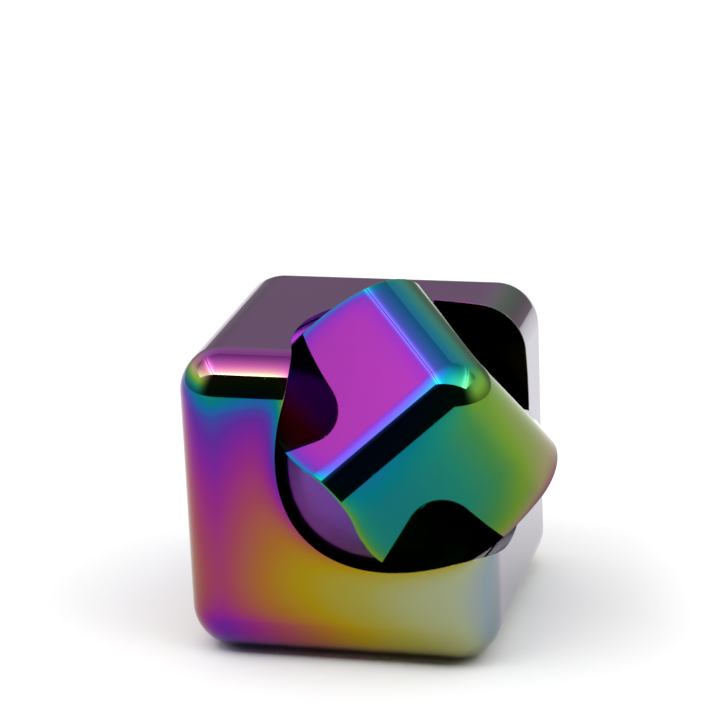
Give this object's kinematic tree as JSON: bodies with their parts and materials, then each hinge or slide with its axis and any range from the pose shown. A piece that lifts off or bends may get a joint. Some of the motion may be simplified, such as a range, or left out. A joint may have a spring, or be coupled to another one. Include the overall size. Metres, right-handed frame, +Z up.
{
  "type": "spinning-corner fidget cube",
  "caption": "Rounded metal cube with a rainbow mirror coating, whose one corner is a separate rotor that spins on the cube's body diagonal, on a small ball bearing.",
  "frame": {"origin": "centre of the cube body's flat bottom face", "axes": "+Z up; the spin axis passes through the cube's centre and leaves at its +X, -Y, +Z corner, so the cavity opens towards the front, the right and the top"},
  "size_m": [0.0319, 0.0319, 0.0319],
  "materials": {
    "rainbow_coated_body": "polished",
    "rainbow_coated_corner": "polished",
    "ground_steel": "satin",
    "bearing_steel": "polished",
    "ball_steel": "polished",
    "cage_steel": "satin",
    "shield_steel": "satin",
    "spring_wire": "satin"
  },
  "bodies": {
    "body": {"cube_body": "rainbow_coated_body", "bearing_outer_ring": "bearing_steel", "bearing_shield_top": "shield_steel", "bearing_shield_bottom": "shield_steel", "shield_ring_top": "spring_wire", "shield_ring_bottom": "spring_wire"},
    "rotor": {"spinning_corner": "rainbow_coated_corner", "axle_pin": "ground_steel", "spacer_washer": "ground_steel", "bearing_inner_ring": "bearing_steel"},
    "cage": {"bearing_cage": "cage_steel"},
    "ball_1": {"bearing_ball_1": "ball_steel"},
    "ball_2": {"bearing_ball_2": "ball_steel"},
    "ball_3": {"bearing_ball_3": "ball_steel"},
    "ball_4": {"bearing_ball_4": "ball_steel"},
    "ball_5": {"bearing_ball_5": "ball_steel"},
    "ball_6": {"bearing_ball_6": "ball_steel"},
    "ball_7": {"bearing_ball_7": "ball_steel"},
    "ball_8": {"bearing_ball_8": "ball_steel"},
    "ball_9": {"bearing_ball_9": "ball_steel"},
    "ball_10": {"bearing_ball_10": "ball_steel"}
  },
  "joints": [
    {"name": "rotor_spin", "type": "hinge", "parent": "body", "child": "rotor", "pos_m": [0, 0, 0.014], "axis": [0.5774, -0.5774, 0.5774], "continuous": true},
    {"name": "cage_orbit", "type": "hinge", "parent": "body", "child": "cage", "pos_m": [0, 0, 0.014], "axis": [0.5774, -0.5774, 0.5774], "continuous": true},
    {"name": "ball_1_roll", "type": "hinge", "parent": "cage", "child": "ball_1", "pos_m": [0.00417, -0.00021, 0.01147], "axis": [0.5774, -0.5774, 0.5774], "continuous": true},
    {"name": "ball_2_roll", "type": "hinge", "parent": "cage", "child": "ball_2", "pos_m": [0.00442, 0.00198, 0.01342], "axis": [0.5774, -0.5774, 0.5774], "continuous": true},
    {"name": "ball_3_roll", "type": "hinge", "parent": "cage", "child": "ball_3", "pos_m": [0.00322, 0.00319, 0.01582], "axis": [0.5774, -0.5774, 0.5774], "continuous": true},
    {"name": "ball_4_roll", "type": "hinge", "parent": "cage", "child": "ball_4", "pos_m": [0.00102, 0.00294, 0.01776], "axis": [0.5774, -0.5774, 0.5774], "continuous": true},
    {"name": "ball_5_roll", "type": "hinge", "parent": "cage", "child": "ball_5", "pos_m": [-0.00133, 0.00133, 0.01851], "axis": [0.5774, -0.5774, 0.5774], "continuous": true},
    {"name": "ball_6_roll", "type": "hinge", "parent": "cage", "child": "ball_6", "pos_m": [-0.00294, -0.00102, 0.01776], "axis": [0.5774, -0.5774, 0.5774], "continuous": true},
    {"name": "ball_7_roll", "type": "hinge", "parent": "cage", "child": "ball_7", "pos_m": [-0.00319, -0.00322, 0.01582], "axis": [0.5774, -0.5774, 0.5774], "continuous": true},
    {"name": "ball_8_roll", "type": "hinge", "parent": "cage", "child": "ball_8", "pos_m": [-0.00198, -0.00442, 0.01342], "axis": [0.5774, -0.5774, 0.5774], "continuous": true},
    {"name": "ball_9_roll", "type": "hinge", "parent": "cage", "child": "ball_9", "pos_m": [0.00021, -0.00417, 0.01147], "axis": [0.5774, -0.5774, 0.5774], "continuous": true},
    {"name": "ball_10_roll", "type": "hinge", "parent": "cage", "child": "ball_10", "pos_m": [0.00256, -0.00256, 0.01073], "axis": [0.5774, -0.5774, 0.5774], "continuous": true}
  ],
  "couplings": [
    {"joint": "cage_orbit", "follows": "rotor_spin", "ratio": 0.41667},
    {"joint": "ball_1_roll", "follows": "rotor_spin", "ratio": -2.9167},
    {"joint": "ball_2_roll", "follows": "rotor_spin", "ratio": -2.9167},
    {"joint": "ball_3_roll", "follows": "rotor_spin", "ratio": -2.9167},
    {"joint": "ball_4_roll", "follows": "rotor_spin", "ratio": -2.9167},
    {"joint": "ball_5_roll", "follows": "rotor_spin", "ratio": -2.9167},
    {"joint": "ball_6_roll", "follows": "rotor_spin", "ratio": -2.9167},
    {"joint": "ball_7_roll", "follows": "rotor_spin", "ratio": -2.9167},
    {"joint": "ball_8_roll", "follows": "rotor_spin", "ratio": -2.9167},
    {"joint": "ball_9_roll", "follows": "rotor_spin", "ratio": -2.9167},
    {"joint": "ball_10_roll", "follows": "rotor_spin", "ratio": -2.9167}
  ]
}
